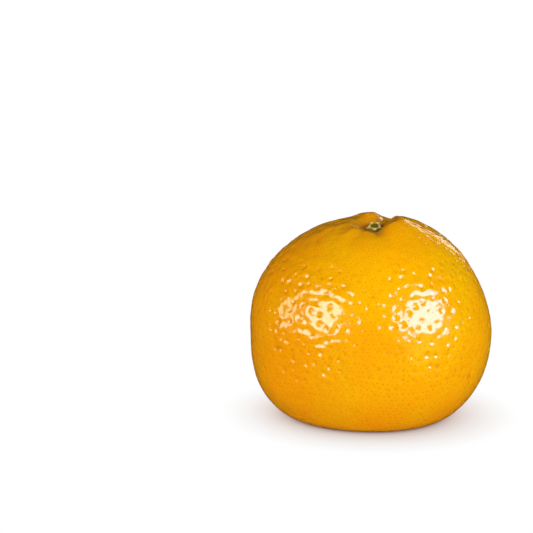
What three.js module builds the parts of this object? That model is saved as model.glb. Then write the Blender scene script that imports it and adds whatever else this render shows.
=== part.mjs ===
// A whole mandarin as it lies on a table: the fruit, the green calyx that sits in its stem basin,
// and the stub of the stem that it was cut from. The fruit rests on its flat base, and its stem end
// leans a little towards -Y. Millimetres, +Z up. The origin is in the plane that the fruit rests
// on, under the middle of its outline.
import * as THREE from "three";

const { degToRad, lerp, smoothstep } = THREE.MathUtils;

// The fruit, in its own upright frame: the growth axis is +Z, and z = 0 is the girth.
const FRUIT_WIDTH = 65.2; // across the girth
const STEM_HALF_HEIGHT = 30.9; // from the girth to the stem end, before the basin dips into it
const BASE_HALF_HEIGHT = 28.6; // from the girth to the base end, before it settles
const STEM_SQUARENESS = 1.95; // power of the superellipse: 2 is an ellipse, and more is squarer
const BASE_SQUARENESS = 2.56;
const BASIN_RADIUS = 8; // from the growth axis to the rim of the stem basin
const BASIN_DEPTH = 2.1; // from that rim down to the calyx's seat
const FLAT_SPOT_RADIUS = 22; // of the flat spot that the fruit rests on, before its edge is rounded
const FLAT_SPOT_ROUNDING = 1.5; // height over which that edge curves up
const DIMPLE_RADIUS = 4.5; // of the dimple in that spot, where the flower's style was
const DIMPLE_DEPTH = 1.1; // up from the plane that the fruit rests on
const BASE_SWAY = 1.4; // of the base end towards -X, away from the growth axis
const SHOULDER_SWAY = 0.7; // of the shoulder towards -X, while the calyx stays on the growth axis
const LEAN = degToRad(9); // of the stem end towards -Y, while the base end stays level
const LEAN_FROM = -18; // height where the lean starts
const LEAN_TO = 18; // height above which the whole stem end leans

// The calyx, a five-pointed ring, and the stem stub that stands in it.
const CALYX_RADIUS = 2.7; // to the tips of its lobes
const CALYX_NOTCH_RADIUS = 1.95; // to the notches between them
const CALYX_THICKNESS = 0.8;
const CALYX_LOBES = 5;
const STUB_RADIUS = 1.05;
const STUB_HEIGHT = 1.1;
const STUB_CUP_RADIUS = 0.65; // of the shallow cup in its cut end
const STUB_CUP_DEPTH = 0.25;
const CLEARANCE = 0.3; // between pieces that touch
const SEAT_MARGIN = 0.4; // of the flat seat, beyond the tips of the calyx

// Folds that run out from the calyx: bearing in degrees from +X, greatest depth (below zero for a
// raised lobe), half width in degrees, and how far from the growth axis each one is at its full
// depth and has faded out.
const FOLDS = [
  { bearing: -94, depth: 0.9, spread: 26, full: 7, reach: 16 },
  { bearing: -81, depth: 0.7, spread: 8, full: 6, reach: 12 },
  { bearing: -22, depth: -1.65, spread: 47, full: 4.5, reach: 14 },
  { bearing: 12, depth: 0.3, spread: 9, full: 8, reach: 24 },
  { bearing: 65, depth: 2.5, spread: 18, full: 7, reach: 22 },
  { bearing: 126, depth: 1.3, spread: 13, full: 8, reach: 20 },
  { bearing: 160, depth: 1.1, spread: 24, full: 8, reach: 22 },
  { bearing: 206, depth: 0.7, spread: 18, full: 7, reach: 17 },
  { bearing: 238, depth: 0.5, spread: 10, full: 8, reach: 19 },
];
const FOLD_BLUNTNESS = 4; // of a fold's edges: 2 is a soft bell, and more is flatter with steep sides
// Waves that keep the girth from being round: how many there are in a turn, their height as a share
// of the fruit's radius, and the bearing of a crest.
const GIRTH_WAVES = [
  { count: 1, share: 0.02, bearing: 180 },
  { count: 2, share: 0.004, bearing: 160 },
  { count: 3, share: 0.007, bearing: 75 },
  { count: 5, share: 0.004, bearing: 10 },
];

const TURN_STEPS = 72; // meshing steps round the growth axis
const BODY_STEPS = 34;
const BASIN_STEPS = 7;
const DIMPLE_STEPS = 4;
const STUB_STEPS = 24; // round the stem

const HALF_WIDTH = FRUIT_WIDTH / 2;
const LEAN_AXIS = new THREE.Vector3(1, 0, 0);
const SEAT_RADIUS = CALYX_RADIUS + SEAT_MARGIN;
const STEM_SIDE = { height: STEM_HALF_HEIGHT, squareness: STEM_SQUARENESS };
const BASE_SIDE = { height: BASE_HALF_HEIGHT, squareness: BASE_SQUARENESS };

// Height of the bare superellipse above or below the girth, at a distance from the growth axis.
function bareHeight(side, distance) {
  const { height, squareness } = side;
  return height * (1 - (distance / HALF_WIDTH) ** squareness) ** (1 / squareness);
}

const SEAT_HEIGHT = bareHeight(STEM_SIDE, BASIN_RADIUS) - BASIN_DEPTH;
const REST_HEIGHT = -bareHeight(BASE_SIDE, FLAT_SPOT_RADIUS);

function stemHeight(distance) {
  const share = smoothstep(distance, SEAT_RADIUS, BASIN_RADIUS);
  return lerp(SEAT_HEIGHT, bareHeight(STEM_SIDE, distance), share);
}

function baseHeight(distance) {
  const share = smoothstep(distance, 0, DIMPLE_RADIUS);
  return lerp(REST_HEIGHT + DIMPLE_DEPTH, -bareHeight(BASE_SIDE, distance), share);
}

// The angle in the superellipse's own parameter at which it is this far from the growth axis.
function outlineAngle(side, distance) {
  return Math.acos((distance / HALF_WIDTH) ** (side.squareness / 2));
}

// Half outline of the fruit from its base end up to its stem end.
function fruitOutline() {
  const points = [];
  for (let i = 0; i < DIMPLE_STEPS; i++) {
    const distance = (DIMPLE_RADIUS * i) / DIMPLE_STEPS;
    points.push(new THREE.Vector2(distance, baseHeight(distance)));
  }
  const from = -outlineAngle(BASE_SIDE, DIMPLE_RADIUS);
  const to = outlineAngle(STEM_SIDE, BASIN_RADIUS);
  for (let i = 0; i < BODY_STEPS; i++) {
    const angle = lerp(from, to, i / BODY_STEPS);
    const side = angle > 0 ? STEM_SIDE : BASE_SIDE;
    const distance = HALF_WIDTH * Math.cos(angle) ** (2 / side.squareness);
    const height = angle > 0 ? stemHeight(distance) : baseHeight(distance);
    points.push(new THREE.Vector2(distance, height));
  }
  for (let i = 0; i < BASIN_STEPS; i++) {
    const distance = lerp(BASIN_RADIUS, SEAT_RADIUS, i / BASIN_STEPS);
    points.push(new THREE.Vector2(distance, stemHeight(distance)));
  }
  points.push(new THREE.Vector2(SEAT_RADIUS, SEAT_HEIGHT));
  points.push(new THREE.Vector2(0, SEAT_HEIGHT));
  return points;
}

// Presses a height flat where it is below the plane that the fruit rests on, with a round edge.
function settle(height) {
  const above = height - REST_HEIGHT;
  if (above >= FLAT_SPOT_ROUNDING) return height;
  if (above <= -FLAT_SPOT_ROUNDING) return REST_HEIGHT;
  return REST_HEIGHT + (above + FLAT_SPOT_ROUNDING) ** 2 / (4 * FLAT_SPOT_ROUNDING);
}

// Angle between two bearings, in degrees, from 0 to 180.
function between(a, b) {
  return Math.abs(THREE.MathUtils.euclideanModulo(a - b + 180, 360) - 180);
}

// How deep the folds are at a bearing and a distance from the growth axis.
function foldDepth(bearing, distance) {
  let depth = 0;
  for (const fold of FOLDS) {
    const across = between(bearing, fold.bearing) / fold.spread;
    const start = smoothstep(distance, SEAT_RADIUS, fold.full);
    const fade = 1 - smoothstep(distance, fold.full, fold.reach);
    depth += fold.depth * start * fade * Math.exp(-(across ** FOLD_BLUNTNESS));
  }
  return depth;
}

function girthWave(bearing) {
  let share = 0;
  for (const wave of GIRTH_WAVES)
    share += wave.share * Math.cos(degToRad((bearing - wave.bearing) * wave.count));
  return share;
}

// Turns the lathed body into the grown one: uneven girth, folded stem end.
function grow(point) {
  const distance = Math.hypot(point.x, point.y);
  const bearing = THREE.MathUtils.radToDeg(Math.atan2(point.y, point.x));
  const outward = 1 + girthWave(bearing) * smoothstep(distance, BASIN_RADIUS, HALF_WIDTH);
  point.x *= outward;
  point.y *= outward;
  if (point.z > 0) {
    point.x -= SHOULDER_SWAY * Math.sin(Math.PI * Math.min(point.z / SEAT_HEIGHT, 1));
    point.z -= foldDepth(bearing, distance);
  } else {
    point.x -= BASE_SWAY * smoothstep(-point.z, 0, BASE_HALF_HEIGHT);
  }
}

function eachPoint(geometry, change) {
  const position = geometry.getAttribute("position");
  const point = new THREE.Vector3();
  for (let i = 0; i < position.count; i++) {
    point.fromBufferAttribute(position, i);
    change(point);
    position.setXYZ(i, point.x, point.y, point.z);
  }
}

// The whole fruit, leaning, with its underside pressed flat on the plane that it rests on.
function makeFruit() {
  const geometry = new THREE.LatheGeometry(fruitOutline(), TURN_STEPS);
  geometry.rotateX(Math.PI / 2); // the lathe's axis is Y, and the fruit's is Z
  eachPoint(geometry, (point) => {
    grow(point);
    point.applyAxisAngle(LEAN_AXIS, LEAN * smoothstep(point.z, LEAN_FROM, LEAN_TO));
    point.z = settle(point.z);
  });
  const skin = new THREE.MeshStandardMaterial({ color: 0xf5a300, roughness: 0.35 });
  const fruit = new THREE.Mesh(geometry, skin);
  fruit.name = "fruit";
  return fruit;
}

// Five pointed lobes round a hole for the stem, drawn flat and extruded.
function makeCalyx() {
  const corners = [];
  for (let k = 0; k < 2 * CALYX_LOBES; k++) {
    const radius = k % 2 === 0 ? CALYX_RADIUS : CALYX_NOTCH_RADIUS;
    const angle = (k * Math.PI) / CALYX_LOBES - Math.PI / 2; // the first lobe points to -Y
    corners.push(new THREE.Vector2(radius * Math.cos(angle), radius * Math.sin(angle)));
  }
  const star = new THREE.Shape(corners);
  const hole = new THREE.Path();
  hole.absarc(0, 0, STUB_RADIUS + CLEARANCE, 0, 2 * Math.PI, true);
  star.holes.push(hole);
  const geometry = new THREE.ExtrudeGeometry(star, {
    depth: CALYX_THICKNESS,
    bevelEnabled: false,
    curveSegments: STUB_STEPS,
  });
  const green = new THREE.MeshStandardMaterial({ color: 0x8f9a4a, roughness: 0.6 });
  const calyx = new THREE.Mesh(geometry, green);
  calyx.name = "calyx";
  calyx.position.z = SEAT_HEIGHT + CLEARANCE;
  return calyx;
}

function makeStemStub() {
  const profile = [
    new THREE.Vector2(0, 0),
    new THREE.Vector2(STUB_RADIUS, 0),
    new THREE.Vector2(STUB_RADIUS, STUB_HEIGHT),
    new THREE.Vector2(STUB_CUP_RADIUS, STUB_HEIGHT),
    new THREE.Vector2(0, STUB_HEIGHT - STUB_CUP_DEPTH),
  ];
  const geometry = new THREE.LatheGeometry(profile, STUB_STEPS);
  geometry.rotateX(Math.PI / 2);
  const wood = new THREE.MeshStandardMaterial({ color: 0x5a5414, roughness: 0.8 });
  const stub = new THREE.Mesh(geometry, wood);
  stub.name = "stem_stub";
  stub.position.z = SEAT_HEIGHT + CLEARANCE;
  return stub;
}

const fruit = makeFruit();
const stemEnd = new THREE.Group();
stemEnd.rotation.x = LEAN;
stemEnd.add(makeCalyx(), makeStemStub());

const mandarin = new THREE.Group();
mandarin.add(fruit, stemEnd);
fruit.geometry.computeBoundingBox();
const middle = fruit.geometry.boundingBox.getCenter(new THREE.Vector3());
mandarin.position.set(-middle.x, -middle.y, -REST_HEIGHT);

export default mandarin;
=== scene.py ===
"""Builds the looks of a whole mandarin over its solids: the pitted, waxy peel, the dry green calyx
in the stem basin and the cut stem, on a pale studio floor under soft lights.

Everything is in metres, +Z up, in the solids' own frame. The stem end leans towards -Y, where the
camera stands.
"""

import math
import random

import bmesh
import bpy
from bpy.props import FloatProperty, FloatVectorProperty, IntProperty, PointerProperty
from mathutils import Matrix, Vector, kdtree, noise
from mathutils.bvhtree import BVHTree


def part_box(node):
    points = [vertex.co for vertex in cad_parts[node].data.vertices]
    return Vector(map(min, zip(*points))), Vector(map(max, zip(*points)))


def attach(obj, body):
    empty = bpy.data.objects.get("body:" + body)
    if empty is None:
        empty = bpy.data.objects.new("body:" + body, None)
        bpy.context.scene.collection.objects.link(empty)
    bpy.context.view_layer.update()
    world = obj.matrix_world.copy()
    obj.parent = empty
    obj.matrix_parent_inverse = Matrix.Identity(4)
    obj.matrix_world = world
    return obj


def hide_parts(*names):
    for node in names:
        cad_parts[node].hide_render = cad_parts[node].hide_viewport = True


bl_info = {
    "name": "Mandarin",
    "version": (1, 0, 0),
    "blender": (4, 5, 0),
    "location": "3D View > Sidebar > Mandarin",
    "description": "Builds a whole mandarin: its pitted peel, its calyx and its cut stem",
    "category": "Object",
}

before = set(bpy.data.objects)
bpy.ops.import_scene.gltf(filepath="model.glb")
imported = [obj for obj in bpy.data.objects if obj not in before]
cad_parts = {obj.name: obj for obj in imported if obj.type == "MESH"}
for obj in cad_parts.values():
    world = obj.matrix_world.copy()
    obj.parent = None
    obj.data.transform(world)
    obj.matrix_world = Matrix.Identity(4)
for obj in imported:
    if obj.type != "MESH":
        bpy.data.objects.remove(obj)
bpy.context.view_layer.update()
MM = 0.001
FRUIT_LOW, FRUIT_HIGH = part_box("fruit")
FRUIT_MIDDLE = (FRUIT_LOW + FRUIT_HIGH) / 2
LEAN = math.radians(9)  # of the stem end towards -Y, as in the solids
CLEARANCE = 0.3 * MM  # gap between neighbouring solids
CUT_SLOPE = 0.4  # rise of the cut and its collar per length, towards the back
FLOOR_GAP = 0.02 * MM  # from the flat spot to the floor, so that the two don't coincide
COLLAR_WIDTH = 0.38 * MM  # how far the calyx's collar spreads from its crest
RIB_HEIGHT = 0.1 * MM  # of the rib along a lobe of the calyx
TIP_LIFT = 0.18 * MM  # how far a lobe's dried tip curls up
CALYX_GRAIN = 0.07 * MM  # height of the calyx's unevenness
CUT_GRAIN = 0.07 * MM  # height of the cut's unevenness
CUT_ROUNDING = 0.12 * MM  # of the bark's edge at the cut


# --- Sizes and colours -------------------------------------------------------------------------


def length(name, description, default):
    """A length in metres that a user can change."""
    return FloatProperty(
        name=name, description=description, default=default, precision=5, unit="LENGTH"
    )


def angle(name, description, degrees):
    """An angle that a user can change."""
    return FloatProperty(
        name=name, description=description, default=math.radians(degrees), subtype="ANGLE"
    )


def colour(name, description, default):
    """A linear RGBA colour that a user can change."""
    return FloatVectorProperty(
        name=name, description=description, default=default, size=4, min=0, max=1, subtype="COLOR"
    )


def number(name, description, default):
    """A plain number that a user can change."""
    return FloatProperty(name=name, description=description, default=default, precision=4)


class PeelSettings(bpy.types.PropertyGroup):
    """Sizes and colours of the peel"""

    seed: IntProperty(name="Seed", description="Which random peel is grown", default=7)
    pit_spacing: length("Pit spacing", "Least distance between two large pits", 2.15 * MM)
    pit_radius: length("Pit radius", "Mean radius of a large pit", 1.0 * MM)
    pit_depth: length("Pit depth", "Mean depth of a large pit", 0.27 * MM)
    swell_height: length("Swell height", "Height of the peel's slow undulations", 0.14 * MM)
    swell_width: length("Swell width", "Width of the peel's slow undulations", 5.2 * MM)
    ripple_height: length("Ripple height", "Height of the bumps between the pits", 0.12 * MM)
    ripple_width: length("Ripple width", "Width of the bumps between the pits", 2.1 * MM)
    wrinkle_height: length("Wrinkle height", "Height of the low wrinkles round the girth", 0.17 * MM)
    wrinkle_width: length("Wrinkle width", "Width of a low wrinkle", 1.4 * MM)
    wrinkle_stretch: number("Wrinkle stretch", "How many times longer than wide one is", 2.6)
    crease_depth: length("Crease depth", "Depth of the fine creases round the calyx", 0.16 * MM)
    crease_reach: length("Crease reach", "How far the fine creases run out", 11 * MM)
    crease_side: angle("Crease side", "Bearing of the side where they run out furthest", -8)
    gland_depth: length("Gland depth", "Depth of the dimple over an oil gland", 0.014 * MM)
    gland_drift: number("Gland drift", "How unevenly the glands lie, as an angle in radians", 0.011)
    pit_walls: length("Pit walls", "Extra steepness of a dull pit's walls, as a depth", 0.09 * MM)
    cloud_share: number("Cloud share", "How much the small clouds deepen the colour", 0.4)
    gland_share: number("Gland share", "How much an oil gland darkens the colour", 0.52)
    pit_share: number("Pit share", "How much a pit darkens the colour", 0.12)
    # How far the stem basin is browned: partly the peel's own tone there, mostly painted shade in the
    # hollow
    basin_shade_share: number("Basin share", "How brown the stem basin is", 0.7)
    freckle_share: number("Freckle share", "How brown a freckle is", 0.3)
    roughness: number("Roughness", "Roughness of the smoothest wax", 0.08)
    basin_roughness: number("Basin roughness", "Roughness that the stem basin adds", 0.2)
    ripe: colour("Ripe", "Yellow orange of the ripest peel", (0.73, 0.432, 0.0, 1))
    deep: colour("Deep", "Deeper orange that drifts through it", (0.74, 0.374, 0.0, 1))
    gland: colour("Gland", "Darker orange of the oil glands", (0.5, 0.14, 0.0, 1))
    # Olive brown of the stem basin: partly the peel's own tone, mostly painted shade in the hollow
    basin_tone_and_shade: colour("Shoulder", "Olive brown of the stem basin", (0.38, 0.15, 0.004, 1))
    # Brown of the rubbed freckles, also used for the painted contact shadow right round the calyx
    freckle_and_shade: colour("Freckle", "Brown of a few rubbed specks", (0.3, 0.075, 0.008, 1))


class CalyxSettings(bpy.types.PropertyGroup):
    """Sizes and colours of the calyx"""

    tip_radius: length("Tip radius", "From the stem's axis to a lobe's tip", 2.7 * MM)
    notch_radius: length("Notch radius", "From the stem's axis to a notch", 1.75 * MM)
    collar_radius: length("Collar radius", "Radius of the raised collar", 1.35 * MM)
    collar_height: length("Collar height", "Height of the collar above the peel", 1.0 * MM)
    thickness: length("Thickness", "Thickness of a lobe", 0.3 * MM)
    pale: colour("Pale", "Pale green of the collar and the ribs", (0.78, 0.76, 0.22, 1))
    dark: colour("Dark", "Dark green between the ribs", (0.07, 0.11, 0.01, 1))
    dry: colour("Dry", "Dark olive of the dried tips", (0.1, 0.11, 0.015, 1))


class StemSettings(bpy.types.PropertyGroup):
    """Sizes and colours of the cut stem"""

    radius: length("Radius", "Radius of the cut stem", 1.0 * MM)
    height: length("Height", "Height of the cut above the peel", 0.75 * MM)
    cup_depth: length("Cup depth", "How far the pith has shrunk into the cut", 0.22 * MM)
    rim: colour("Rim", "Olive of the bark round the cut", (0.15, 0.15, 0.015, 1))
    pith: colour("Pith", "Dark olive of the cut face", (0.11, 0.085, 0.004, 1))


class StageSettings(bpy.types.PropertyGroup):
    """The camera, the floor and the lights"""

    camera_distance: length("Camera distance", "From the fruit's middle", 0.40378)
    camera_height: angle("Camera elevation", "Above the floor, seen from the fruit", 12)
    camera_turn: angle("Camera turn", "Leftward from the fruit's middle", 4.106)
    camera_tilt: angle("Camera tilt", "Downward from level", 10.231)
    lens: number("Lens", "Focal length in millimetres", 100)
    floor_radius: length("Floor radius", "Radius of the round floor", 6.0)
    floor_white: colour("Floor", "Colour that the floor throws back on the fruit", (0.95, 0.77, 0.6, 1))
    shade_reach: length("Shade reach", "How far the fruit's soft shade spreads", 0.025)
    shade_deep: colour("Deep shade", "Shade where the fruit touches the floor", (0.1, 0.02, 0.006, 1))
    shade_middle: colour("Middle shade", "Shade under the fruit's edge", (0.58, 0.46, 0.42, 1))
    shade_soft: colour("Soft shade", "Shade a little way out", (0.78, 0.69, 0.65, 1))
    light_distance: length("Light distance", "From the fruit's middle to each light", 0.9)


# --- Materials ---------------------------------------------------------------------------------


def put(tree, kind, inputs=None, **settings):
    """Adds a node. An input's value is a number, a colour or the socket that feeds it."""
    node = tree.nodes.new(kind)
    for name, value in settings.items():
        setattr(node, name, value)
    for name, value in (inputs or {}).items():
        if isinstance(value, bpy.types.NodeSocket):
            tree.links.new(value, node.inputs[name])
        else:
            node.inputs[name].default_value = value
    return node


def mix(tree, amount, base, other, blend="MIX"):
    """Mixes two colours and returns the socket with the result."""
    node = put(tree, "ShaderNodeMix", data_type="RGBA", blend_type=blend)
    for socket, value in ((node.inputs[0], amount), (node.inputs[6], base), (node.inputs[7], other)):
        if isinstance(value, bpy.types.NodeSocket):
            tree.links.new(value, socket)
        else:
            socket.default_value = value
    return node.outputs[2]


def ramp(tree, value, low, high, to_low=0.0, to_high=1.0):
    """Eases a value from one range into another and returns the socket with the result."""
    inputs = {"Value": value, "From Min": low, "From Max": high, "To Min": to_low, "To Max": to_high}
    return put(tree, "ShaderNodeMapRange", inputs, interpolation_type="SMOOTHSTEP").outputs[0]


def maths(tree, operation, first, second):
    """Works out one operation on two values and returns the socket with the result."""
    return put(tree, "ShaderNodeMath", {0: first, 1: second}, operation=operation).outputs[0]


def attribute(tree, name):
    """The socket that gives one of the piece's own values."""
    return put(tree, "ShaderNodeAttribute", attribute_name=name).outputs["Fac"]


def mottle_group():
    """The node group that clouds a surface: a mask of soft patches of one width."""
    if "mottle" in bpy.data.node_groups:
        return bpy.data.node_groups["mottle"]
    tree = bpy.data.node_groups.new("mottle", "ShaderNodeTree")
    tree.interface.new_socket("Vector", in_out="INPUT", socket_type="NodeSocketVector")
    for name, default in (("Width", 0.01), ("Low", 0.35), ("High", 0.65), ("Detail", 3.0)):
        socket = tree.interface.new_socket(name, in_out="INPUT", socket_type="NodeSocketFloat")
        socket.default_value = default
    tree.interface.new_socket("Mask", in_out="OUTPUT", socket_type="NodeSocketFloat")
    given = put(tree, "NodeGroupInput").outputs
    scale = maths(tree, "DIVIDE", 1.0, given["Width"])
    patches = put(
        tree,
        "ShaderNodeTexNoise",
        {"Vector": given["Vector"], "Scale": scale, "Detail": given["Detail"], "Roughness": 0.55},
    )
    mask = ramp(tree, patches.outputs["Fac"], given["Low"], given["High"])
    put(tree, "NodeGroupOutput", {"Mask": mask})
    return tree


def mottle(tree, place, width, low, high, detail=3.0):
    """Places the mottle group and returns the socket with its mask."""
    node = put(tree, "ShaderNodeGroup", node_tree=mottle_group())
    tree.links.new(place, node.inputs["Vector"])
    for name, value in (("Width", width), ("Low", low), ("High", high), ("Detail", detail)):
        node.inputs[name].default_value = value
    return node.outputs["Mask"]


def new_material(name):
    """A material with an empty node tree, its shader and the piece's own coordinates."""
    material = bpy.data.materials.new(name)
    material.use_nodes = True
    tree = material.node_tree
    tree.nodes.clear()
    shader = put(tree, "ShaderNodeBsdfPrincipled")
    put(tree, "ShaderNodeOutputMaterial", {"Surface": shader.outputs[0]})
    place = put(tree, "ShaderNodeTexCoord").outputs["Object"]
    return material, tree, shader, place


def feed(tree, shader, **sockets):
    """Links values to the shader's sockets, named with underscores for spaces."""
    for name, value in sockets.items():
        tree.links.new(value, shader.inputs[name.replace("_", " ")])


def peel_material(peel):
    """Waxy orange peel, dotted with oil glands, browner in the stem basin from its own tone and from
    painted shade, with a painted contact shadow round the calyx.
    """
    material, tree, shader, place = new_material("waxy peel")
    dots = ramp(tree, attribute(tree, "gland"), 0.1, 0.8)
    pits = attribute(tree, "pit")
    basin = attribute(tree, "basin")

    base = mix(tree, mottle(tree, place, 16 * MM, 0.36, 0.66), tuple(peel.ripe), tuple(peel.deep))
    freckles = mottle(tree, place, 3.4 * MM, 0.735, 0.78, 1.0)
    tints = (
        (mottle(tree, place, 2.6 * MM, 0.42, 0.7), peel.cloud_share, peel.deep),
        (dots, peel.gland_share, peel.gland),
        (pits, peel.pit_share, peel.gland),
        # The stem basin browned: partly its own olive tone, mostly painted shade in the hollow
        (basin, peel.basin_shade_share, peel.basin_tone_and_shade),
        # Painted contact shadow right round the calyx, in the freckles' brown
        (ramp(tree, basin, 0.86, 1.0), 0.6, peel.freckle_and_shade),
        (freckles, peel.freckle_share, peel.freckle_and_shade),
    )
    for mask, share, tint in tints:
        base = mix(tree, maths(tree, "MULTIPLY", mask, share), base, tuple(tint))

    dull = maths(tree, "MULTIPLY", mottle(tree, place, 1.3 * MM, 0.3, 0.7), 0.05)
    seat = ramp(tree, basin, 0.45, 1.0, 0.0, peel.basin_roughness)
    rough = maths(tree, "ADD", maths(tree, "ADD", peel.roughness, dull), seat)
    walls = put(
        tree,
        "ShaderNodeBump",
        {"Height": maths(tree, "SUBTRACT", 1.0, pits), "Distance": peel.pit_walls},
    )
    grain = maths(tree, "MULTIPLY", mottle(tree, place, 0.5 * MM, 0.2, 0.8), 0.8)
    bump = put(
        tree,
        "ShaderNodeBump",
        {
            "Height": maths(tree, "SUBTRACT", grain, dots),
            "Distance": peel.gland_depth,
            "Normal": walls.outputs[0],
        },
    )
    feed(tree, shader, Base_Color=base, Roughness=rough, Normal=bump.outputs[0])
    shader.inputs["Specular IOR Level"].default_value = 1.0
    shader.inputs["Subsurface Weight"].default_value = 0.12
    shader.inputs["Subsurface Radius"].default_value = (1.0, 0.35, 0.08)
    shader.inputs["Subsurface Scale"].default_value = 1.6 * MM
    return material


def calyx_material(calyx):
    """Dry green calyx: pale on its collar and ribs, dark between them, olive at the tips."""
    material, tree, shader, place = new_material("dry calyx")
    fibre = mottle(tree, place, 0.35 * MM, 0.3, 0.7)
    pale = maths(tree, "MULTIPLY", attribute(tree, "rib"), ramp(tree, fibre, 0.0, 1.0, 0.75, 1.0))
    base = mix(tree, pale, tuple(calyx.dark), tuple(calyx.pale))
    tips = maths(tree, "MULTIPLY", attribute(tree, "tip"), mottle(tree, place, 0.8 * MM, 0.3, 0.6))
    base = mix(tree, tips, base, tuple(calyx.dry))
    rough = ramp(tree, fibre, 0.0, 1.0, 0.45, 0.7)
    bump = put(tree, "ShaderNodeBump", {"Height": fibre, "Distance": 0.05 * MM})
    feed(tree, shader, Base_Color=base, Roughness=rough, Normal=bump.outputs[0])
    shader.inputs["Specular IOR Level"].default_value = 0.3
    return material


def stem_material(stem):
    """Cut stem: an olive bark round a dark, fibrous cut face."""
    material, tree, shader, place = new_material("cut stem")
    fibre = mottle(tree, place, 0.22 * MM, 0.3, 0.7)
    base = mix(tree, attribute(tree, "bark"), tuple(stem.pith), tuple(stem.rim))
    base = mix(tree, maths(tree, "MULTIPLY", fibre, 0.45), base, tuple(stem.rim))
    rough = ramp(tree, fibre, 0.0, 1.0, 0.6, 0.9)
    bump = put(tree, "ShaderNodeBump", {"Height": fibre, "Distance": 0.06 * MM})
    feed(tree, shader, Base_Color=base, Roughness=rough, Normal=bump.outputs[0])
    shader.inputs["Specular IOR Level"].default_value = 0.15
    return material


def floor_material(stage):
    """Floor that the camera sees as white, with a soft warm shade close to the fruit."""
    material = bpy.data.materials.new("white floor")
    material.use_nodes = True
    tree = material.node_tree
    tree.nodes.clear()
    paint = put(tree, "ShaderNodeBsdfDiffuse", {"Color": tuple(stage.floor_white)})
    opening = put(
        tree, "ShaderNodeAmbientOcclusion", {"Distance": stage.shade_reach}, samples=16
    ).outputs["AO"]
    shade = put(tree, "ShaderNodeValToRGB", {"Fac": opening})
    stops = shade.color_ramp.elements
    stops[0].position, stops[0].color = 0.0, tuple(stage.shade_deep)
    stops[1].position, stops[1].color = 0.74, (1, 1, 1, 1)
    for place, tone in ((0.15, stage.shade_middle), (0.35, stage.shade_soft)):
        stops.new(place).color = tuple(tone)
    glow = put(tree, "ShaderNodeEmission", {"Color": shade.outputs["Color"], "Strength": 1.0})
    seen = put(tree, "ShaderNodeLightPath").outputs["Is Camera Ray"]
    both = put(tree, "ShaderNodeMixShader", {0: seen, 1: paint.outputs[0], 2: glow.outputs[0]})
    put(tree, "ShaderNodeOutputMaterial", {"Surface": both.outputs[0]})
    return material


# --- Pieces ------------------------------------------------------------------------------------


def finish_piece(bm, name, material, node):
    """Makes a closed bmesh a smooth piece that stands for a CAD node and rides with the fruit."""
    bmesh.ops.recalc_face_normals(bm, faces=bm.faces)
    mesh = bpy.data.meshes.new(name)
    bm.to_mesh(mesh)
    bm.free()
    mesh.shade_smooth()
    mesh.materials.append(material)
    piece = bpy.data.objects.new(name, mesh)
    bpy.context.scene.collection.objects.link(piece)
    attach(piece, "root")
    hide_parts(node)
    return piece


def ease(value, low, high):
    """0 below the low end, 1 above the high end, and smooth between them."""
    share = min(max((value - low) / (high - low), 0.0), 1.0)
    return share * share * (3 - 2 * share)


def stem_seat():
    """Where the stem's axis meets the peel, from the stem's solid, as a turned frame."""
    low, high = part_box("stem_stub")
    size = high - low
    tall = (size.z - size.x * math.sin(LEAN)) / math.cos(LEAN)
    turn = Matrix.Rotation(LEAN, 4, "X")
    foot = (low + high) / 2 - turn @ Vector((0, 0, tall / 2 + CLEARANCE))
    return Matrix.Translation(foot) @ turn


SEAT = stem_seat()


def fade(value, low, high, least):
    """Goes smoothly from the least share at the low end to 1 at the high end."""
    return least + (1 - least) * ease(value, low, high)


def smooth_fruit():
    """The fruit's solid, merged, with its facets rounded off, ready to be met by rays."""
    bm = bmesh.new()
    bm.from_mesh(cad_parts["fruit"].data)
    bmesh.ops.remove_doubles(bm, verts=bm.verts, dist=0.001 * MM)
    bmesh.ops.join_triangles(
        bm, faces=bm.faces, angle_face_threshold=math.pi, angle_shape_threshold=math.pi
    )
    mesh = bpy.data.meshes.new("rounding")
    bm.to_mesh(mesh)
    bm.free()
    rounding = bpy.data.objects.new("rounding", mesh)
    bpy.context.scene.collection.objects.link(rounding)
    modifier = rounding.modifiers.new("Round", "SUBSURF")
    modifier.levels = modifier.render_levels = 2
    tree = BVHTree.FromObject(rounding, bpy.context.evaluated_depsgraph_get())
    bpy.data.objects.remove(rounding)
    bpy.data.meshes.remove(mesh)
    return tree


def cast_onto(surface, middle, verts):
    """Moves each vertex out from the middle until it lies on the surface."""
    for vert in verts:
        hit = surface.ray_cast(middle, vert.co.normalized())[0]
        if hit is None:
            raise RuntimeError("a ray from the fruit's middle missed its surface")
        vert.co = hit


def spaced_out(places, spacing, dice):
    """Picks places in a random order, so that no two picked ones are closer than the spacing."""
    near = kdtree.KDTree(len(places))
    for i, place in enumerate(places):
        near.insert(place, i)
    near.balance()
    order = list(range(len(places)))
    dice.shuffle(order)
    taken = set()
    picked = []
    for i in order:
        if i not in taken:
            picked.append(places[i])
            taken.update(j for _, j, _ in near.find_range(places[i], spacing))
    return picked


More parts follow.
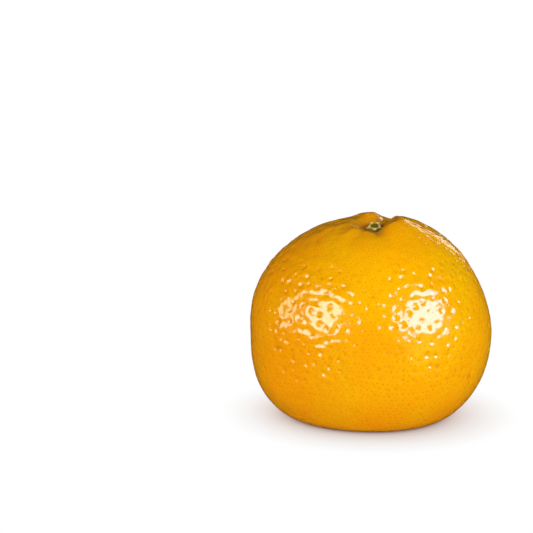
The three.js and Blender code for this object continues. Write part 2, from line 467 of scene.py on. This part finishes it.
class Pits:
    """The large pits: where they are, and how wide, deep and dull each one is."""

    def __init__(self, places, peel, dice):
        self.places = spaced_out(places, peel.pit_spacing, dice)
        self.radii = [peel.pit_radius * dice.uniform(0.7, 1.2) for _ in self.places]
        self.depths = [peel.pit_depth * dice.uniform(0.3, 1.25) for _ in self.places]
        self.dullness = [dice.choice((0.1, 1.0, 1.0)) for _ in self.places]
        self.near = kdtree.KDTree(len(self.places))
        for i, place in enumerate(self.places):
            self.near.insert(place, i)
        self.near.balance()

    def at(self, place):
        """How deep the pit is here, and how far into a dull pit this place is, from 0 to 1."""
        _, i, distance = self.near.find(place)
        share = distance / self.radii[i]
        if share >= 1.0:
            return 0.0, 0.0
        bowl = (1 - share) ** 1.5 * (1 + share)
        return self.depths[i] * bowl, self.dullness[i] * bowl


def swell(place, width):
    """Smooth noise from -1 to 1, with bumps of about this width."""
    return noise.noise(place / width)


def wrinkle(place, peel):
    """Noise from -1 to 1 in low wrinkles that lie round the girth."""
    local = SEAT.inverted() @ place
    wide = peel.wrinkle_width * peel.wrinkle_stretch
    return noise.noise(Vector((local.x / wide, local.y / wide, local.z / peel.wrinkle_width)))


def evenness(place):
    """How strong pits and bumps are here. They fade towards the flat spot, the base, the stem end
    and both sides, and a little down the middle of the front and the back."""
    even = ease(place.z, 0.2 * MM, 3 * MM)
    even *= fade(place.z, 8 * MM, 21 * MM, 0.3)
    even *= fade(place.z, 47 * MM, 41 * MM, 0.4)
    even *= fade(abs(place.x), 31 * MM, 22 * MM, 0.4)
    return even * fade(abs(place.x + MM), MM, 9 * MM, 0.6)


def unrest(place):
    """How strong the bumps between the pits are: stronger towards -X and above the girth."""
    return 0.5 + 0.6 * ease(place.x, 8 * MM, -12 * MM) + 0.6 * ease(place.z, 31 * MM, 39 * MM)


def crease(place, peel):
    """How deep the fine creases that run out from the calyx are here."""
    local = SEAT.inverted() @ place
    distance = math.hypot(local.x, local.y)
    if local.z < -20 * MM:
        return 0.0
    bearing = math.atan2(local.y, local.x)
    near = 1 - ease(distance, 3.2 * MM, peel.crease_reach)
    side = max(0.0, math.cos(bearing - peel.crease_side)) ** 2
    far = 0.6 * side * (1 - ease(distance, 16 * MM, 31 * MM))
    around = Vector((6 * math.cos(bearing), 6 * math.sin(bearing), distance / (14 * MM)))
    return peel.crease_depth * max(near, far) * max(noise.noise(around), -0.4)


class MANDARIN_OT_peel(bpy.types.Operator):
    """Grow the pitted peel over the fruit's solid"""

    bl_idname = "mandarin.peel"
    bl_label = "Peel"

    def execute(self, context):
        peel = context.scene.mandarin_peel
        dice = random.Random(peel.seed)
        surface = smooth_fruit()
        bm = bmesh.new()
        gland_layer = bm.verts.layers.float.new("gland")
        pit_layer = bm.verts.layers.float.new("pit")
        basin_layer = bm.verts.layers.float.new("basin")
        bmesh.ops.create_icosphere(bm, subdivisions=6, radius=1)
        glands = len(bm.verts)
        for vert in bm.verts:
            vert.co += peel.gland_drift * Vector([dice.uniform(-1, 1) for _ in range(3)])
        pits = Pits(
            [surface.ray_cast(FRUIT_MIDDLE, vert.co.normalized())[0] for vert in bm.verts], peel, dice
        )
        bmesh.ops.subdivide_edges(bm, edges=bm.edges, cuts=2, use_grid_fill=True)
        bm.verts.ensure_lookup_table()
        for vert in bm.verts[:glands]:
            vert[gland_layer] = dice.uniform(0.5, 1.0)
        cast_onto(surface, FRUIT_MIDDLE, bm.verts)
        bm.normal_update()
        to_seat = SEAT.inverted()
        for vert in bm.verts:
            place = vert.co.copy()
            from_stem = (to_seat @ place).length
            depth, inside = pits.at(place)
            even = evenness(place)
            calm = ease(from_stem, 2.5 * MM, 9 * MM) * even
            rough = unrest(place)
            rise = swell(place, peel.swell_width) * peel.swell_height * calm
            ripple = swell(place, peel.ripple_width) * peel.ripple_height
            rise += ripple * rough * (0.3 * even + 0.7 * calm)
            rise += wrinkle(place, peel) * peel.wrinkle_height * rough * calm
            rise -= depth * (0.45 * even + 0.55 * calm) * ease(from_stem, 2.5 * MM, 4 * MM)
            rise -= crease(place, peel)
            vert.co += vert.normal * rise
            vert.co.z = max(vert.co.z, FRUIT_LOW.z)
            vert[pit_layer] = inside * even
            # Nearness to the stem: drives the basin's brown (own tone and painted shade), the painted
            # contact shadow round the calyx and the rougher wax
            vert[basin_layer] = 1 - ease(from_stem, 2 * MM, 13 * MM)
        finish_piece(bm, "peel", peel_material(peel), "fruit")
        return {"FINISHED"}


class MANDARIN_OT_calyx(bpy.types.Operator):
    """Shape the five-lobed calyx in the stem basin"""

    bl_idname = "mandarin.calyx"
    bl_label = "Calyx"

    def execute(self, context):
        calyx = context.scene.mandarin_calyx
        stem = context.scene.mandarin_stem
        rings = 12
        bm = bmesh.new()
        rib_layer = bm.verts.layers.float.new("rib")
        tip_layer = bm.verts.layers.float.new("tip")
        circle = bmesh.ops.create_circle(bm, segments=100, radius=stem.radius, cap_ends=False)
        edges = list({edge for vert in circle["verts"] for edge in vert.link_edges})
        rows = [circle["verts"]]
        for _ in range(rings):
            grown = bmesh.ops.extrude_edge_only(bm, edges=edges)["geom"]
            rows.append([part for part in grown if isinstance(part, bmesh.types.BMVert)])
            edges = [part for part in grown if isinstance(part, bmesh.types.BMEdge)]
            edges = [edge for edge in edges if all(v in set(rows[-1]) for v in edge.verts)]
        for i, row in enumerate(rows):
            out = i / rings
            for vert in row:
                bearing = math.atan2(vert.co.y, vert.co.x)
                lobe = (1 + math.cos(5 * (bearing + math.pi / 2))) / 2
                edge = calyx.notch_radius + (calyx.tip_radius - calyx.notch_radius) * lobe**1.6
                radius = stem.radius + (edge - stem.radius) * out
                collar = math.exp(-(((radius - calyx.collar_radius) / COLLAR_WIDTH) ** 2))
                fall = 0.42 * calyx.collar_height * (1 - out) ** 0.7
                rib = lobe**3 * (1 - abs(2 * out - 1) ** 3)
                rough = noise.noise(Vector((bearing * 5, out * 3, 4.2)))
                tall = 0.58 * calyx.collar_height * collar + fall + RIB_HEIGHT * rib
                tall += CALYX_GRAIN * rough + TIP_LIFT * lobe * out**3
                tall += CUT_SLOPE * radius * math.sin(bearing) * (1 - out)
                vert.co = Vector((radius * math.cos(bearing), radius * math.sin(bearing), tall))
                vert[rib_layer] = min(1.0, collar * (0.65 + 0.35 * lobe) + 0.9 * rib)
                vert[tip_layer] = out**2 * lobe
        bmesh.ops.recalc_face_normals(bm, faces=bm.faces)
        bmesh.ops.solidify(bm, geom=bm.verts[:] + bm.edges[:] + bm.faces[:], thickness=calyx.thickness)
        bmesh.ops.transform(bm, matrix=SEAT, verts=bm.verts)
        finish_piece(bm, "calyx_star", calyx_material(calyx), "calyx")
        return {"FINISHED"}


class MANDARIN_OT_stem(bpy.types.Operator):
    """Shape the stub of stem that was left when the fruit was cut"""

    bl_idname = "mandarin.stem"
    bl_label = "Cut stem"

    def execute(self, context):
        stem = context.scene.mandarin_stem
        bm = bmesh.new()
        bark_layer = bm.verts.layers.float.new("bark")
        bmesh.ops.create_cone(
            bm,
            cap_ends=True,
            segments=40,
            radius1=stem.radius,
            radius2=stem.radius * 0.96,
            depth=stem.height + CLEARANCE,
        )
        bmesh.ops.translate(bm, vec=(0, 0, (stem.height - CLEARANCE) / 2), verts=bm.verts)
        top = max(bm.faces, key=lambda face: face.calc_center_median().z)
        bmesh.ops.bevel(
            bm,
            geom=top.edges[:],
            offset=CUT_ROUNDING,
            segments=3,
            profile=0.5,
            affect="EDGES",
            material=-1,
        )
        top = max(bm.faces, key=lambda face: face.calc_center_median().z)
        for vert in bm.verts:
            vert[bark_layer] = 1.0
        for _ in range(6):
            bmesh.ops.inset_region(bm, faces=[top], thickness=stem.radius * 0.14, depth=0)
        cut = stem.height - 0.02 * MM
        for vert in bm.verts:
            distance = math.hypot(vert.co.x, vert.co.y)
            inner = 1 - ease(distance, 0.25 * stem.radius, 0.85 * stem.radius)
            if vert.co.z > cut:
                rough = noise.noise(vert.co / (0.3 * MM))
                vert.co.z += CUT_GRAIN * rough - stem.cup_depth * inner + CUT_SLOPE * vert.co.y
                vert[bark_layer] = ease(distance, 0.55 * stem.radius, 0.9 * stem.radius)
        bmesh.ops.transform(bm, matrix=SEAT, verts=bm.verts)
        finish_piece(bm, "cut_stem", stem_material(stem), "stem_stub")
        return {"FINISHED"}


# --- Stage -------------------------------------------------------------------------------------

# Soft oval lights: name, degrees to the camera's right and above level, width and height as the
# angles that the fruit sees, radiance, tint, and which part of the looks it lights: the gloss, or
# the colour under it.
LIGHTS = (
    ("right_softbox", 54, 24, 54, 28, 8.2, (0.95, 0.66, 1.0), "gloss"),
    ("left_softbox", -43, 21, 38, 36, 5.2, (1.0, 0.97, 1.0), "gloss"),
    ("right_light", 54, 24, 54, 28, 6.9, (1.0, 0.95, 0.95), "colour"),
    ("left_light", -43, 21, 38, 36, 5.2, (1.0, 0.93, 0.85), "colour"),
    ("left_strip", -84, 13, 15, 30, 4.1, (1.0, 0.88, 0.7), "gloss"),
    ("back_strip", 157, 18, 6, 27, 2.6, (1.0, 0.86, 0.78), "gloss"),
    ("right_glow", 46, -10, 38, 16, 0.6, (1.0, 0.8, 0.2), "gloss"),
    ("right_wash", 52, 8, 66, 50, 1.55, (0.98, 1.0, 0.9), "colour"),
    ("left_wash", -50, 12, 56, 50, 2.0, (1.0, 0.56, 0.22), "colour"),
    ("back_wash", 180, 15, 70, 40, 1.1, (1.0, 0.95, 0.85), "colour"),
)


def add_camera(stage):
    """The camera, on the fruit's front side."""
    data = bpy.data.cameras.new("camera")
    data.lens = stage.lens
    data.sensor_width = 36
    data.clip_start = 0.01
    camera = bpy.data.objects.new("camera", data)
    bpy.context.scene.collection.objects.link(camera)
    up = stage.camera_height
    camera.location = FRUIT_MIDDLE + stage.camera_distance * Vector((0, -math.cos(up), math.sin(up)))
    camera.location.x = 0
    camera.rotation_euler = (math.pi / 2 - stage.camera_tilt, 0, stage.camera_turn)
    bpy.context.scene.camera = camera


def add_light(stage, name, right, above, wide, high, radiance, tint, lit):
    """A soft oval of light that faces the fruit from that direction."""
    data = bpy.data.lights.new(name, "AREA")
    data.shape = "ELLIPSE"
    data.size = 2 * stage.light_distance * math.tan(math.radians(wide / 2))
    data.size_y = 2 * stage.light_distance * math.tan(math.radians(high / 2))
    data.energy = radiance * math.pi * (math.pi / 4 * data.size * data.size_y)
    data.color = tint
    light = bpy.data.objects.new(name, data)
    bpy.context.scene.collection.objects.link(light)
    bearing, up = math.radians(right), math.radians(above)
    out = Vector((math.sin(bearing) * math.cos(up), -math.cos(bearing) * math.cos(up), math.sin(up)))
    light.location = FRUIT_MIDDLE + stage.light_distance * out
    light.rotation_euler = out.to_track_quat("Z", "Y").to_euler()
    light.visible_camera = False
    light.visible_glossy = lit == "gloss"
    light.visible_diffuse = lit == "colour"


def add_world():
    """White to the camera, a soft fill to the pieces' colours, and nearly dark to their gloss."""
    world = bpy.data.worlds.new("studio")
    world.use_nodes = True
    tree = world.node_tree
    tree.nodes.clear()
    path = put(tree, "ShaderNodeLightPath").outputs
    fill = put(tree, "ShaderNodeBackground", {"Color": (1.0, 0.64, 0.34, 1), "Strength": 0.23})
    gloss = put(tree, "ShaderNodeBackground", {"Color": (1.0, 0.8, 0.45, 1), "Strength": 0.03})
    white = put(tree, "ShaderNodeBackground", {"Color": (1, 1, 1, 1), "Strength": 1.0})
    lit = put(
        tree, "ShaderNodeMixShader", {0: path["Is Glossy Ray"], 1: fill.outputs[0], 2: gloss.outputs[0]}
    )
    seen = put(
        tree, "ShaderNodeMixShader", {0: path["Is Camera Ray"], 1: lit.outputs[0], 2: white.outputs[0]}
    )
    put(tree, "ShaderNodeOutputWorld", {"Surface": seen.outputs[0]})
    bpy.context.scene.world = world


def add_floor(stage):
    """A large round floor, just under the flat spot."""
    bm = bmesh.new()
    bmesh.ops.create_circle(bm, segments=96, radius=stage.floor_radius, cap_ends=True)
    bmesh.ops.translate(bm, vec=(0, 0, -FLOOR_GAP), verts=bm.verts)
    mesh = bpy.data.meshes.new("floor")
    bm.to_mesh(mesh)
    bm.free()
    mesh.materials.append(floor_material(stage))
    floor = bpy.data.objects.new("floor", mesh)
    bpy.context.scene.collection.objects.link(floor)
    floor.visible_glossy = False


class MANDARIN_OT_stage(bpy.types.Operator):
    """Set up the camera, the pale floor and the soft lights"""

    bl_idname = "mandarin.stage"
    bl_label = "Stage"

    def execute(self, context):
        stage = context.scene.mandarin_stage
        add_camera(stage)
        add_floor(stage)
        for light in LIGHTS:
            add_light(stage, *light)
        add_world()
        context.scene.view_settings.view_transform = "Standard"
        return {"FINISHED"}


class MANDARIN_PT_build(bpy.types.Panel):
    """Lists the mandarin's pieces and their sizes"""

    bl_label = "Mandarin"
    bl_space_type = "VIEW_3D"
    bl_region_type = "UI"
    bl_category = "Mandarin"

    def draw(self, context):
        for operator, settings in STEPS:
            box = self.layout.box()
            box.operator(operator.bl_idname)
            group = getattr(context.scene, settings)
            for name in group.__annotations__:
                box.prop(group, name)


STEPS = (
    (MANDARIN_OT_stage, "mandarin_stage"),
    (MANDARIN_OT_peel, "mandarin_peel"),
    (MANDARIN_OT_calyx, "mandarin_calyx"),
    (MANDARIN_OT_stem, "mandarin_stem"),
)
SETTINGS = {
    "mandarin_stage": StageSettings,
    "mandarin_peel": PeelSettings,
    "mandarin_calyx": CalyxSettings,
    "mandarin_stem": StemSettings,
}


def register():
    for name, group in SETTINGS.items():
        bpy.utils.register_class(group)
        setattr(bpy.types.Scene, name, PointerProperty(type=group))
    for operator, _ in STEPS:
        bpy.utils.register_class(operator)
    bpy.utils.register_class(MANDARIN_PT_build)


def unregister():
    bpy.utils.unregister_class(MANDARIN_PT_build)
    for operator, _ in reversed(STEPS):
        bpy.utils.unregister_class(operator)
    for name, group in SETTINGS.items():
        delattr(bpy.types.Scene, name)
        bpy.utils.unregister_class(group)


def main():
    register()
    bpy.ops.mandarin.stage()
    bpy.ops.mandarin.peel()
    bpy.ops.mandarin.calyx()
    bpy.ops.mandarin.stem()


if __name__ == "__main__":
    main()
